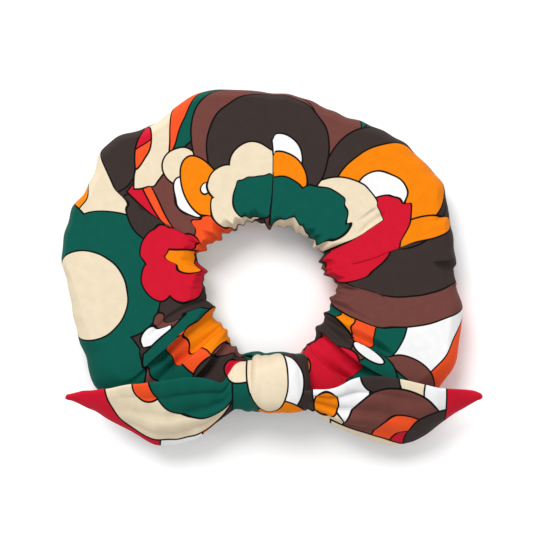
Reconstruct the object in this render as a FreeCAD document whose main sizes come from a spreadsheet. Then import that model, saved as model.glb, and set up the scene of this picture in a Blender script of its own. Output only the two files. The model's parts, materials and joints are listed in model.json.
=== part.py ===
import FreeCAD, Part
import math
import os

# A scrunchie with a scarf bow, lying flat.  Millimetres, +Z up.  The origin is the centre of the hair hole,
# on the surface that the scrunchie lies on.  The bow is at the front, -Y.
#
# The cover is a gathered fabric tube, drawn as a soft hollow ring.  It is split at y = 0 into the half that
# stays put and the half that is pulled away when the elastic stretches.

UP = FreeCAD.Vector(0, 0, 1)
ALONG = FreeCAD.Vector(1, 0, 0)
SIDEWAYS = FreeCAD.Vector(0, 1, 0)
ORIGIN = FreeCAD.Vector(0, 0, 0)

doc = FreeCAD.newDocument("scrunchie")

# ---------------------------------------------------------------- driving dimensions

DIMENSIONS = [
    # the gathered ring
    ("hole_radius", 18.0, "relaxed hair hole"),
    ("tube_width", 38.0, "gathered cover, from the hole to the outer edge"),
    ("tube_height", 20.0, "gathered cover, where it is fullest"),
    ("cover_wall", 1.0, "gathered cloth, fold on fold"),
    ("floor_flat", 1.5, "how far the soft tube is pressed flat below"),
    ("split_gap", 0.3, "between the two halves of a stretching piece"),
    # the neck, where the scarf squeezes the tube round
    ("neck_inset", 9.9, "from the hole's edge to the axis of the neck"),
    ("neck_radius", 7.0, "squeezed cover under the scarf"),
    ("neck_half", 11.0, "half the length of the neck"),
    ("neck_flat", 0.02, "how much lower than wide the cover is where it enters the neck"),
    # the elastic
    ("elastic_inset", 8.5, "from the hole's edge to the middle of the band"),
    ("elastic_width", 5.0, "flat braided elastic"),
    ("elastic_thick", 1.2, "flat braided elastic"),
    ("elastic_drop", 0.9, "from the axis of the neck down to the middle of the band"),
    ("lap_length", 12.0, "overlap where the elastic's ends are joined"),
    # the scarf
    ("scarf_thick", 1.8, "gathered scarf round the neck"),
    ("scarf_gap", 0.6, "between the scarf's loop and the cover"),
    ("floor_gap", 0.6, "under the scarf's loop"),
    ("loop_margin", 0.2, "from the end of the neck to the end of the scarf's loop"),
    ("knot_past_loop", 4.5, "knot past each end of the loop, along X, if it were whole"),
    ("knot_over_side", 0.4, "half the knot along Y, beyond the loop's radius"),
    ("knot_over_top", 0.1, "half the knot upwards, beyond the loop's radius"),
    ("knot_lift", 4.0, "centre of the knot above the axis of the neck"),
    ("tail_lift", 0.0, "extra height of both tails over the cover"),
    # sewing thread
    ("thread_radius", 0.2, "sewing thread"),
    ("stitch_length", 2.4, "one stitch"),
    ("stitch_pitch", 3.8, "from one stitch to the next"),
    ("seam_inset", 0.5, "from the inside of the cover to its seam's thread"),
    ("thread_gap", 0.1, "between a thread and the cloth that it lies on"),
]

# Fullness of the cover at each angle about the hole (degrees from +X): how far the inner edge, the outer
# edge and the height differ from the driving dimensions.  The gathers make it uneven.  The last number is
# how much of the height follows the neck instead of the tube.
COVER_UPPER = [
    (0, 0.4, -1.6, -1.0, 0.0),
    (30, -0.8, 0.4, 0.0, 0.0),
    (60, -0.8, -2.6, -1.0, 0.0),
    (90, -0.8, -0.8, 0.0, 0.0),
    (120, 0.6, 1.4, 0.0, 0.0),
    (150, 2.8, 5.0, 0.0, 0.0),
    (180, 0.8, 3.2, 0.0, 0.0),
]
COVER_LEFT = [
    (180, 0.8, 3.2, 0.0, 0.0),
    (200, 0.2, 1.4, -1.0, 0.2),
    (218, 0.2, -2.0, -4.0, 0.6),
]
COVER_RIGHT = [
    (322, 0.8, -1.6, -4.0, 0.6),
    (341, -0.4, 0.4, -1.0, 0.2),
    (360, 0.4, -1.6, -1.0, 0.0),
]

# Each tail of the scarf is a soft leaf, drawn through sections across X: distance out from the end of the
# loop, upper and lower edge in Y from the axis of the neck, upper and lower edge in Z from the height of
# the cover, thickness, and how much of the height follows the neck instead of the cover.
TAIL_LEFT = [
    (2.4, -0.9, -9.3, 2.0, -4.4, 4.0, 1.0),
    (9.2, 1.2, -15.6, 2.0, -8.6, 4.6, 0.7),
    (17.2, 0.9, -18.3, 1.6, -10.6, 4.6, 0.4),
    (27.2, -0.3, -14.4, 1.0, -9.6, 4.0, 0.1),
    (37.2, -2.0, -8.6, -1.0, -7.4, 3.0, 0.0),
    (46.4, -2.8, -3.8, -5.6, -6.4, 1.0, 0.0),
]
TAIL_RIGHT = [
    (2.4, -0.9, -8.3, 2.0, -4.0, 4.0, 1.0),
    (9.2, 0.4, -12.6, 2.0, -6.8, 4.6, 0.7),
    (19.2, 2.1, -17.0, 1.6, -9.6, 4.6, 0.4),
    (29.2, 0.6, -17.4, 0.8, -11.4, 4.4, 0.1),
    (38.8, -1.4, -10.4, -1.4, -9.4, 3.0, 0.0),
    (49.0, -2.8, -3.9, -6.4, -7.2, 1.0, 0.0),
]

sheet = doc.addObject("Spreadsheet::Sheet", "Dimensions")


def put(alias, value, note=""):
    """One driving dimension: its name, its value and what it is, on a row of its own."""
    put.row += 1
    sheet.set("A%d" % put.row, alias)
    sheet.set("B%d" % put.row, str(value))
    sheet.set("C%d" % put.row, note)
    sheet.setAlias("B%d" % put.row, alias)


put.row = 0
for alias, value, note in DIMENSIONS:
    put(alias, value, note)
for side, stations in (("upper", COVER_UPPER), ("left", COVER_LEFT), ("right", COVER_RIGHT)):
    for angle, inner, outer, height, share in stations:
        put("%s_%d_inner" % (side, angle), inner, "cover's inner edge at %d degrees" % angle)
        put("%s_%d_outer" % (side, angle), outer, "cover's outer edge at %d degrees" % angle)
        put("%s_%d_height" % (side, angle), height, "cover's height at %d degrees" % angle)
        put("%s_%d_share" % (side, angle), share, "how much of that height follows the neck")
for side, stations in (("tail_left", TAIL_LEFT), ("tail_right", TAIL_RIGHT)):
    for number, station in enumerate(stations):
        words = ("reach", "upper_y", "lower_y", "upper_z", "lower_z", "thick", "share")
        for word, value in zip(words, station):
            put("%s_%d_%s" % (side, number, word), value, "section %d of the tail" % number)
doc.recompute()


def cell(alias):
    """A driving dimension's value."""
    return float(sheet.get(alias))


def bind(obj, prop, formula):
    """Ties a property to the sheet.  Names of dimensions in the formula are written in square brackets."""
    obj.setExpression(prop, formula.replace("[", "Dimensions.").replace("]", ""))


def make(kind, name, **formulas):
    """A Part primitive whose sizes follow the sheet."""
    obj = doc.addObject(kind, name)
    for prop, formula in formulas.items():
        bind(obj, prop, formula)
    return obj


def place(obj, rotation, x="0", y="0", z="0"):
    """A fixed turn, and a position that follows the sheet."""
    obj.Placement = FreeCAD.Placement(ORIGIN, rotation)
    for axis, formula in (("x", x), ("y", y), ("z", z)):
        bind(obj, "Placement.Base." + axis, formula)
    return obj


def cut(name, base, tool):
    obj = doc.addObject("Part::Cut", name)
    obj.Base = base
    obj.Tool = tool
    return obj


def fuse(name, shapes):
    obj = doc.addObject("Part::MultiFuse", name)
    obj.Shapes = shapes
    return obj


def group(name, pieces):
    """Separate solids that share one sub-part, such as the stitches of a seam."""
    obj = doc.addObject("Part::Compound", name)
    obj.Links = pieces
    return obj


def turn(axis, degrees):
    return FreeCAD.Rotation(axis, degrees)


NECK_Y = "-([hole_radius] + [neck_inset])"
NECK_Z = "[neck_radius] + [scarf_gap] + [scarf_thick] + [floor_gap]"
neck_y = -(cell("hole_radius") + cell("neck_inset"))
neck_z = cell("neck_radius") + cell("scarf_gap") + cell("scarf_thick") + cell("floor_gap")
LOOP_HALF = "([neck_half] - [loop_margin])"
loop_half = cell("neck_half") - cell("loop_margin")


def height_near_neck(share):
    """The cover's height, or for a share of 1 as far above the axis of the neck as the floor is below it."""
    return "([tube_height] + %s * (2 * (%s) - [tube_height]))" % (share, NECK_Z)



# ---------------------------------------------------------------- cover: a gathered tube, hollow


def cover_section(name, side, angle, wall):
    """An upright ellipse across the tube, at an angle about the hole.  It reaches a little below z = 0."""
    row = (side, angle)
    inner = "([hole_radius] + [%s_%d_inner])" % row
    outer = "([hole_radius] + [tube_width] + [%s_%d_outer])" % row
    fullest = height_near_neck("[%s_%d_share]" % row)
    height = "(%s + [%s_%d_height])" % (fullest, side, angle)
    ellipse = make(
        "Part::Ellipse", name,
        MajorRadius="(%s - %s) / 2 - %s" % (outer, inner, wall),
        MinorRadius="(%s + [floor_flat]) / 2 - %s" % (height, wall),
    )
    middle = "(%s + %s) / 2" % (outer, inner)
    direction = math.radians(angle)
    return place(
        ellipse,
        turn(UP, angle).multiply(turn(ALONG, 90)),
        "%s * %.12f" % (middle, math.cos(direction)),
        "%s * %.12f" % (middle, math.sin(direction)),
        "(%s - [floor_flat]) / 2" % height,
    )


def neck_section(name, sign, wall):
    """The section at one end of the neck, all but round."""
    radius = "[neck_radius] - %s" % wall
    circle = make("Part::Ellipse", name, MajorRadius=radius, MinorRadius=radius + " - [neck_flat]")
    upright = turn(UP, 270).multiply(turn(ALONG, 90))
    return place(circle, upright, "%d * [neck_half]" % sign, NECK_Y, NECK_Z)


def loft(name, sections):
    obj = doc.addObject("Part::Loft", name)
    obj.Sections = sections
    obj.Solid = True
    obj.Ruled = False
    obj.Closed = False
    return obj


def cover_arc(name, side, stations, wall, neck_sign=0):
    """The tube through a list of stations, ending at the neck when neck_sign is -1 (left) or 1 (right)."""
    sections = [cover_section("%s_%d" % (name, row[0]), side, row[0], wall) for row in stations]
    if neck_sign < 0:
        sections.append(neck_section(name + "_neck", -1, wall))
    if neck_sign > 0:
        sections.insert(0, neck_section(name + "_neck", 1, wall))
    return loft(name, sections)


def front_half(name, wall):
    """Left arc, straight neck and right arc of the front half."""
    left = cover_arc(name + "_left", "left", COVER_LEFT, wall, -1)
    right = cover_arc(name + "_right", "right", COVER_RIGHT, wall, 1)
    ends = [neck_section("%s_end_%d" % (name, number), sign, wall) for number, sign in enumerate((-1, 1))]
    return fuse(name, [left, loft(name + "_straight", ends), right])


def slab(name, floor, depth):
    """A block below the height floor, wider than the ring."""
    half = "([hole_radius] + 2 * [tube_width])"
    box = make("Part::Box", name, Length="2 * " + half, Width="2 * " + half, Height=depth)
    return place(box, FreeCAD.Rotation(), "-" + half, "-" + half, "%s - %s" % (floor, depth))


def split_slot(name):
    """The gap at y = 0 that shortens the front half of a stretching piece."""
    half = "([hole_radius] + 2 * [tube_width])"
    box = make("Part::Box", name, Length="2 * " + half, Width="[split_gap]", Height="2 * [tube_height]")
    return place(box, FreeCAD.Rotation(), "-" + half, "-[split_gap]", "-[tube_height] / 2")


def hollow_cover(name, outside, inside):
    """Flattens the outside on the floor, and empties it down to one wall above the floor."""
    resting = cut(name + "_resting", outside, slab(name + "_floor", "0", "[tube_height]"))
    room = cut(name + "_room", inside, slab(name + "_bed", "[cover_wall]", "[tube_height]"))
    return cut(name, resting, room)


upper_inside = cover_arc("upper_inside", "upper", COVER_UPPER, "[cover_wall]")
front_inside = front_half("front_inside", "[cover_wall]")
upper_outside = cover_arc("upper_outside", "upper", COVER_UPPER, "0")
upper_cover = hollow_cover("cover_upper", upper_outside, upper_inside)
whole_front = hollow_cover("front_cover", front_half("front_outside", "0"), front_inside)
lower_cover = cut("cover_lower", whole_front, split_slot("cover_split"))

# ---------------------------------------------------------------- elastic: a flat band inside the cover

BAND_INNER = "[hole_radius] + [elastic_inset] - [elastic_thick] / 2"
BAND_OUTER = "[hole_radius] + [elastic_inset] + [elastic_thick] / 2"
LAP_OUTER = BAND_OUTER + " + [elastic_thick]"
band_middle = cell("hole_radius") + cell("elastic_inset")


def band(name, start, angle, inner, outer):
    """A piece of the flat band: an arc of a tube, standing on edge a little below the neck's axis."""
    disc = make("Part::Cylinder", name + "_disc", Radius=outer, Height="[elastic_width]")
    core = make("Part::Cylinder", name + "_core", Radius=inner, Height="[elastic_width]")
    for obj in (disc, core):
        bind(obj, "Angle", angle)
        place(obj, turn(UP, start), "0", "0", NECK_Z + " - [elastic_drop] - [elastic_width] / 2")
    return cut(name, disc, core)


lap_angle = math.degrees(cell("lap_length") / band_middle)
upper_elastic = band("elastic_upper", 0, "180", BAND_INNER, BAND_OUTER)
front_band = fuse("front_band", [
    band("front_elastic", 180, "180", BAND_INNER, BAND_OUTER),
    band("elastic_lap", 270 - lap_angle / 2, "%.9f" % lap_angle, BAND_OUTER, LAP_OUTER),
])
lower_elastic = cut("elastic_lower", front_band, split_slot("elastic_split"))

# ---------------------------------------------------------------- scarf: loop, knot and two tails


def sleeve(name, radius, half):
    """A cylinder along the axis of the neck."""
    rod = make("Part::Cylinder", name, Radius=radius, Height="2 * " + half)
    return place(rod, turn(SIDEWAYS, 90), "-" + half, NECK_Y, NECK_Z)


LOOP_INNER = "[neck_radius] + [scarf_gap]"
LOOP_OUTER = "[neck_radius] + [scarf_gap] + [scarf_thick]"
loop = cut(
    "scarf_loop",
    sleeve("loop_outside", LOOP_OUTER, LOOP_HALF),
    sleeve("loop_bore", LOOP_INNER, "[neck_half]"),
)

knot_pillow = make(
    "Part::Ellipsoid", "knot_pillow",
    Radius1=LOOP_OUTER + " + [knot_over_top]",
    Radius2=LOOP_HALF + " + [knot_past_loop]",
    Radius3=LOOP_OUTER + " + [knot_over_side]",
)
place(knot_pillow, FreeCAD.Rotation(), "0", NECK_Y, NECK_Z + " + [knot_lift]")
knot = cut("scarf_knot", knot_pillow, sleeve("knot_seat", LOOP_OUTER + " + [thread_gap]", "2 * [neck_half]"))


def tail(name, side, stations, sign):
    """A soft leaf through tilted ellipses.  sign is -1 for the left tail and 1 for the right one."""
    sections = []
    for number, station in enumerate(stations):
        upper_y, lower_y, upper_z, lower_z = station[1:5]
        across = FreeCAD.Vector(0, lower_y - upper_y, lower_z - upper_z).normalize()
        through = across.cross(ALONG)
        row = "%s_%d" % (side, number)
        width_y = "([%s_upper_y] - [%s_lower_y])" % (row, row)
        width_z = "([%s_upper_z] - [%s_lower_z])" % (row, row)
        ellipse = make(
            "Part::Ellipse", "%s_%d" % (name, number),
            MajorRadius="sqrt(%s ^ 2 + %s ^ 2) / 2" % (width_y, width_z),
            MinorRadius="[%s_thick] / 2" % row,
        )
        top = height_near_neck("[%s_share]" % row)
        sections.append(place(
            ellipse,
            FreeCAD.Rotation(across, through, -ALONG, "ZXY"),
            "%d * (%s + [%s_reach])" % (sign, LOOP_HALF, row),
            NECK_Y + " + ([%s_upper_y] + [%s_lower_y]) / 2" % (row, row),
            "%s + [tail_lift] + ([%s_upper_z] + [%s_lower_z]) / 2" % (top, row, row),
        ))
    return loft(name, sections)


left_tail = tail("scarf_tail_left", "tail_left", TAIL_LEFT, -1)
right_tail = tail("scarf_tail_right", "tail_right", TAIL_RIGHT, 1)

# ---------------------------------------------------------------- sewing thread

doc.recompute()


def stitch(name, start, end):
    """One stitch: a short round thread from one point to another."""
    run = end - start
    thread = make("Part::Cylinder", name, Radius="[thread_radius]")
    thread.Height = run.Length
    thread.Placement = FreeCAD.Placement(start, FreeCAD.Rotation(UP, run))
    return thread


def furthest(shape, normal, distance, direction):
    """Where a slice across a shape reaches furthest in a direction."""
    samples = 120
    points = [point for wire in shape.slice(normal, distance) for point in wire.discretize(samples)]
    return max(points, key=lambda point: point.dot(direction))


def seam_point(inside, angle):
    """On the cover's lengthwise seam, just inside the wall that faces the hole."""
    inward = turn(UP, angle).multVec(-ALONG)
    return furthest(inside, UP.cross(inward), 0, inward) - inward * cell("seam_inset")


def cover_seam(name, inside, first, last):
    """A row of stitches along the seam, evenly spaced between two angles."""
    spacing = 8
    half_stitch = math.degrees(cell("stitch_length") / 2 / cell("hole_radius"))
    pieces = []
    for angle in range(first, last + 1, spacing):
        ends = [seam_point(inside.Shape, angle + side * half_stitch) for side in (-1, 1)]
        pieces.append(stitch("%s_%d" % (name, angle), ends[0], ends[1]))
    return pieces


def neck_seam(name):
    """The same seam inside the neck, where it runs straight."""
    side = neck_y + cell("neck_radius") - cell("cover_wall") - cell("seam_inset")
    half_stitch = FreeCAD.Vector(cell("stitch_length") / 2, 0, 0)
    pieces = []
    for number in (-2, -1, 0, 1, 2):
        middle = FreeCAD.Vector(number * cell("stitch_pitch"), side, neck_z)
        pieces.append(stitch("%s_%d" % (name, number + 2), middle - half_stitch, middle + half_stitch))
    return pieces


upper_seam = group("cover_seam_upper", cover_seam("upper_stitch", upper_inside, 10, 170))
lower_seam = group(
    "cover_seam_lower",
    cover_seam("left_stitch", front_inside, 190, 214)
    + neck_seam("neck_stitch")
    + cover_seam("right_stitch", front_inside, 326, 350),
)


def closing_stitches(name):
    """Stitches round the neck, under the scarf, that close the ends of the cover into a ring."""
    count = 12
    pieces = []
    for number in range(count):
        arc = make(
            "Part::Torus", "%s_%d" % (name, number),
            Radius1="[neck_radius] + [thread_radius] + [thread_gap] / 2",
            Radius2="[thread_radius]",
        )
        arc.Angle3 = 0.6 * 360 / count
        around = turn(ALONG, number * 360 / count).multiply(turn(SIDEWAYS, 90))
        pieces.append(place(arc, around, "0", NECK_Y, NECK_Z))
    return group(name, pieces)


def join_stitches(name):
    """A zigzag across the lapped ends of the elastic, on the outside of the lap."""
    lap_radius = band_middle + 1.5 * cell("elastic_thick") + cell("thread_radius") + cell("thread_gap")
    swing = cell("elastic_width") / 3
    steps = 8
    step = 0.8 * lap_angle / steps
    corners = []
    for number in range(steps + 1):
        outward = turn(UP, 270 + (number - steps / 2) * step).multVec(ALONG)
        height = neck_z - cell("elastic_drop") + (swing if number % 2 else -swing)
        corners.append(outward * lap_radius + UP * height)
    pieces = []
    for number in range(steps):
        run = corners[number + 1] - corners[number]
        trim = run * (1.5 * cell("thread_radius") / run.Length)
        pieces.append(stitch("%s_%d" % (name, number), corners[number] + trim, corners[number + 1] - trim))
    return group(name, pieces)


closing = closing_stitches("cover_closing_stitches")
joining = join_stitches("elastic_join_stitches")


def edge_point(leaf, sign, reach):
    """On the lower edge of a tail, just outside the cloth."""
    outward = FreeCAD.Vector(0, -1, -0.6).normalize()
    clear = cell("thread_radius") + cell("thread_gap")
    return furthest(leaf, ALONG, sign * reach, outward) + outward * clear


def tail_seam(name, leaf, stations, sign):
    """The ladder of stitches along the lower edge, where the scarf was turned and closed."""
    first = loop_half + stations[0][0] + cell("stitch_length")
    last = loop_half + stations[-1][0] - 2 * cell("stitch_pitch")
    pieces = []
    for number in range(int((last - first) / cell("stitch_pitch")) + 1):
        reach = first + number * cell("stitch_pitch")
        ends = [edge_point(leaf.Shape, sign, reach + along) for along in (0, 0.8 * cell("stitch_length"))]
        pieces.append(stitch("%s_%d" % (name, number), ends[0], ends[1]))
    return group(name, pieces)


left_seam = tail_seam("scarf_seam_left", left_tail, TAIL_LEFT, -1)
right_seam = tail_seam("scarf_seam_right", right_tail, TAIL_RIGHT, 1)

# ---------------------------------------------------------------- check and write

SUB_PARTS = [
    upper_cover, lower_cover, upper_elastic, lower_elastic, upper_seam, lower_seam, closing, joining,
    loop, knot, left_tail, right_tail, left_seam, right_seam,
]

doc.recompute()
for obj in doc.Objects:
    if "Invalid" in obj.State or "Error" in obj.State:
        raise RuntimeError("%s failed: %s" % (obj.Name, obj.State))
for obj in SUB_PARTS:
    obj.Label = obj.Name
    if obj.Shape.isNull() or not obj.Shape.isValid() or obj.Shape.Volume <= 0:
        raise RuntimeError("%s has no valid solid" % obj.Label)

os.makedirs("parts", exist_ok=True)
for obj in SUB_PARTS:
    obj.Shape.exportStep("parts/%s.step" % obj.Label)
    print("%-24s %2d solids %10.1f mm3" % (obj.Label, len(obj.Shape.Solids), obj.Shape.Volume))
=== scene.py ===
import json
import math

import bpy
import numpy as np
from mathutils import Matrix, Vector


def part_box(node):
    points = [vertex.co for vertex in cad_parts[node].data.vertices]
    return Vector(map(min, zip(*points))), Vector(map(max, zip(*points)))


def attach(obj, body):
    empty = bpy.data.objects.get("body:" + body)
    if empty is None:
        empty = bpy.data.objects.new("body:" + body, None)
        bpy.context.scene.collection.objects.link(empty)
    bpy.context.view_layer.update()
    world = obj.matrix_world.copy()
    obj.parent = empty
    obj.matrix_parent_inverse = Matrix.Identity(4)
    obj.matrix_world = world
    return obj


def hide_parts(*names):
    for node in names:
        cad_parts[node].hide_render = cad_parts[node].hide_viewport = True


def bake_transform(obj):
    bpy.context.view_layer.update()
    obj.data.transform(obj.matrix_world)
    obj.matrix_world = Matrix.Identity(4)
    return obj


# A scrunchie of printed cloth with a scarf bow, lying flat on a pale table.
# Shapes are worked out in millimetres about the centre of the hair hole, and meshes are in metres.

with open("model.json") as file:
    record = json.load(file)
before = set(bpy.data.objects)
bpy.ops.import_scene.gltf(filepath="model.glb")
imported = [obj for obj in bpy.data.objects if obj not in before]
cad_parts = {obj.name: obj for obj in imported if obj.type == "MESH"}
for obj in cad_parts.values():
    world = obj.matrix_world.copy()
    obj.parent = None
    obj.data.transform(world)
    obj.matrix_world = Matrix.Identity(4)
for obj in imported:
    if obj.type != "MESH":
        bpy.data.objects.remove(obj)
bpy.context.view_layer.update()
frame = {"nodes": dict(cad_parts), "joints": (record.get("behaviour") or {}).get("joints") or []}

MM = 0.001
JOINTS = {joint["name"]: joint for joint in frame["joints"]}
NECK_Y = JOINTS["scarf_turn"]["pos_m"][1] / MM
NECK_Z = JOINTS["scarf_turn"]["pos_m"][2] / MM
LOOP_LOW, LOOP_HIGH = (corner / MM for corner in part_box("scarf_loop"))
LOOP_RADIUS = (LOOP_HIGH.z - LOOP_LOW.z) / 2
PRINT_PLACE = "print"  # the mesh attribute that says where a point lies on the printed cloth

# ---------------------------------------------------------------- small helpers


def smoothstep(x, low, high):
    t = np.clip((x - low) / (high - low), 0.0, 1.0)
    return t * t * (3.0 - 2.0 * t)


def curve_through(knots, places, period=None):
    """A cubic through (place, value) knots, worked out at many places.

    With a period it closes on itself.
    """
    keys = np.array([knot[0] for knot in knots], float)
    values = np.array([knot[1] for knot in knots], float)
    places = np.asarray(places, float)
    if period:
        places = keys[0] + np.mod(places - keys[0], period)
        keys = np.concatenate([keys[-2:] - period, keys, keys[:3] + period])
        values = np.concatenate([values[-2:], values, values[:3]])
    slopes = np.gradient(values, keys)
    number = np.clip(np.searchsorted(keys, places, side="right") - 1, 0, len(keys) - 2)
    span = keys[number + 1] - keys[number]
    t = np.clip((places - keys[number]) / span, 0.0, 1.0)
    return (
        (2 * t**3 - 3 * t**2 + 1) * values[number]
        + (t**3 - 2 * t**2 + t) * span * slopes[number]
        + (3 * t**2 - 2 * t**3) * values[number + 1]
        + (t**3 - t**2) * span * slopes[number + 1]
    )


def signed_power(x, power):
    """x to a power with its sign kept: a power below 1 makes a round section squarer."""
    return np.sign(x) * np.abs(x) ** power


def once_round(count):
    """Angles in radians once round a section, as one row."""
    return np.linspace(0, 2 * math.pi, count, endpoint=False)[None, :]


def ripple(x, y, scale, seed):
    """Smooth, repeatable unevenness between about -1 and 1, from a few crossing waves."""
    random = np.random.default_rng(seed)
    total = np.zeros(np.broadcast(x, y).shape)
    waves = 9
    for _ in range(waves):
        heading = random.uniform(0, 2 * math.pi)
        length = scale * random.uniform(0.7, 1.6)
        phase = random.uniform(0, 2 * math.pi)
        total += np.sin((x * math.cos(heading) + y * math.sin(heading)) * 2 * math.pi / length + phase)
    return total / math.sqrt(waves)


def crease(apart, steep, gentle, softness):
    """A crease's depth at a distance from its line: steep on one side and gentle on the other.

    The gentle side is where apart has the same sign as gentle.
    """
    apart = apart * math.copysign(1, gentle)
    soft = np.sqrt(apart**2 + softness**2)
    return np.where(apart > 0, np.exp(-soft / abs(gentle)), np.exp(-soft / steep))


def grid_faces(rows, columns, closed_rows=True, closed_columns=True):
    """Quads over a grid of vertices, row after row."""
    row = np.arange(rows if closed_rows else rows - 1)
    column = np.arange(columns if closed_columns else columns - 1)
    a, b = np.meshgrid(row, column, indexing="ij")
    c = (a + 1) % rows
    d = (b + 1) % columns
    return np.stack([a * columns + b, c * columns + b, c * columns + d, a * columns + d], -1).reshape(-1, 4)


def grid_normals(points):
    """Outward normals of a closed grid of points, by central differences."""
    along = np.roll(points, -1, 0) - np.roll(points, 1, 0)
    across = np.roll(points, -1, 1) - np.roll(points, 1, 1)
    normal = np.cross(along, across)
    length = np.linalg.norm(normal, axis=-1, keepdims=True)
    return normal / np.maximum(length, 1e-9)


def put_in_scene(name, data):
    thing = bpy.data.objects.new(name, data)
    bpy.context.scene.collection.objects.link(thing)
    return thing


def add_mesh(name, points, faces, material, printed_at=None):
    """A smooth mesh from points in millimetres, with the place of each point on the printed cloth."""
    mesh = bpy.data.meshes.new(name)
    points = np.asarray(points, float).reshape(-1, 3) * MM
    faces = faces if isinstance(faces, list) else faces.tolist()
    mesh.from_pydata(points.tolist(), [], faces)
    mesh.shade_smooth()
    if printed_at is not None:
        layer = mesh.attributes.new(PRINT_PLACE, "FLOAT_VECTOR", "POINT")
        layer.data.foreach_set("vector", np.asarray(printed_at, np.float32).reshape(-1))
    mesh.materials.append(material)
    mesh.validate()
    return put_in_scene(name, mesh)


def shell(points, faces, normals, thickness):
    """A closed grid of points made into cloth: the same surface again, a thickness further in."""
    outside = points.reshape(-1, 3)
    inside = (points - normals * thickness).reshape(-1, 3)
    return np.concatenate([outside, inside]), np.concatenate([faces, faces[:, ::-1] + len(outside)])


# ---------------------------------------------------------------- materials

INK = {
    "outline": (0.003, 0.0025, 0.0025),
    "charcoal": (0.0345, 0.0237, 0.0215),
    "brown": (0.133, 0.0434, 0.0357),
    "green": (0.0018, 0.0767, 0.0564),
    "cream": (0.66, 0.56, 0.405),
    "red": (0.505, 0.006, 0.0227),
    "orange": (0.72, 0.0713, 0.0142),
    "amber": (0.72, 0.186, 0.0014),
    "white": (0.73, 0.73, 0.735),
}
LINE_WIDTH = 0.5
LINE_SOFTNESS = 0.06
FILL_SOFTNESS = 0.05
# The colour sockets of a Mix node.
MIX_FACTOR, MIX_FIRST, MIX_SECOND = 0, 6, 7
MIX_RESULT = 2


class Nodes:
    """Builds a material's node tree, one call a node."""

    def __init__(self, tree):
        self.tree = tree

    def add(self, kind, **settings):
        node = self.tree.nodes.new(kind)
        for name, value in settings.items():
            setattr(node, name, value)
        return node

    def link(self, source, target):
        self.tree.links.new(source, target)

    def feed(self, socket, value):
        if isinstance(value, bpy.types.NodeSocket):
            self.link(value, socket)
        else:
            socket.default_value = value

    def fed(self, values, kind, **settings):
        """A new node with its first inputs given in order."""
        node = self.add(kind, **settings)
        for socket, value in zip(node.inputs, values):
            self.feed(socket, value)
        return node

    def math(self, operation, *values):
        return self.fed(values, "ShaderNodeMath", operation=operation).outputs[0]

    def vector(self, operation, *values):
        return self.fed(values, "ShaderNodeVectorMath", operation=operation).outputs["Vector"]

    def measure(self, operation, *values):
        """A vector operation whose answer is one number."""
        return self.fed(values, "ShaderNodeVectorMath", operation=operation).outputs["Value"]

    def ramp(self, value, low, high, start, end):
        """A smooth step from start, where the value is low, to end, where it is high."""
        values = (value, low, high, start, end)
        return self.fed(values, "ShaderNodeMapRange", interpolation_type="SMOOTHSTEP").outputs[0]

    def mix(self, factor, first, second, blend_type="MIX"):
        node = self.add("ShaderNodeMix", data_type="RGBA", blend_type=blend_type)
        for number, value in zip((MIX_FACTOR, MIX_FIRST, MIX_SECOND), (factor, first, second)):
            self.feed(node.inputs[number], value)
        return node.outputs[MIX_RESULT]

    def noise(self, where, scale, detail, roughness=0.5):
        node = self.add("ShaderNodeTexNoise")
        self.link(where, node.inputs["Vector"])
        node.inputs["Scale"].default_value = scale
        node.inputs["Detail"].default_value = detail
        node.inputs["Roughness"].default_value = roughness
        return node

    def bump(self, height, strength, distance):
        node = self.add("ShaderNodeBump")
        node.inputs["Strength"].default_value = strength
        node.inputs["Distance"].default_value = distance
        self.link(height, node.inputs["Height"])
        return node


def ink_group():
    """Paints one outlined shape over what is under it: Distance is negative inside the shape."""
    tree = bpy.data.node_groups.new("ink_shape", "ShaderNodeTree")
    for name, kind in (("Under", "Color"), ("Distance", "Float"), ("Fill", "Color")):
        tree.interface.new_socket(name, in_out="INPUT", socket_type="NodeSocket" + kind)
    tree.interface.new_socket("Color", in_out="OUTPUT", socket_type="NodeSocketColor")
    nodes = Nodes(tree)
    given = nodes.add("NodeGroupInput")
    result = nodes.add("NodeGroupOutput")
    distance = given.outputs["Distance"]
    inside = nodes.ramp(distance, -FILL_SOFTNESS, FILL_SOFTNESS, 1.0, 0.0)
    half = LINE_WIDTH / 2
    from_edge = nodes.math("ABSOLUTE", distance)
    line = nodes.ramp(from_edge, half - LINE_SOFTNESS, half + LINE_SOFTNESS, 1.0, 0.0)
    filled = nodes.mix(inside, given.outputs["Under"], given.outputs["Fill"])
    nodes.link(nodes.mix(line, filled, (*INK["outline"], 1)), result.inputs["Color"])
    return tree


INK_SHAPE = ink_group()
NOT_ZERO = 0.0001


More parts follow.
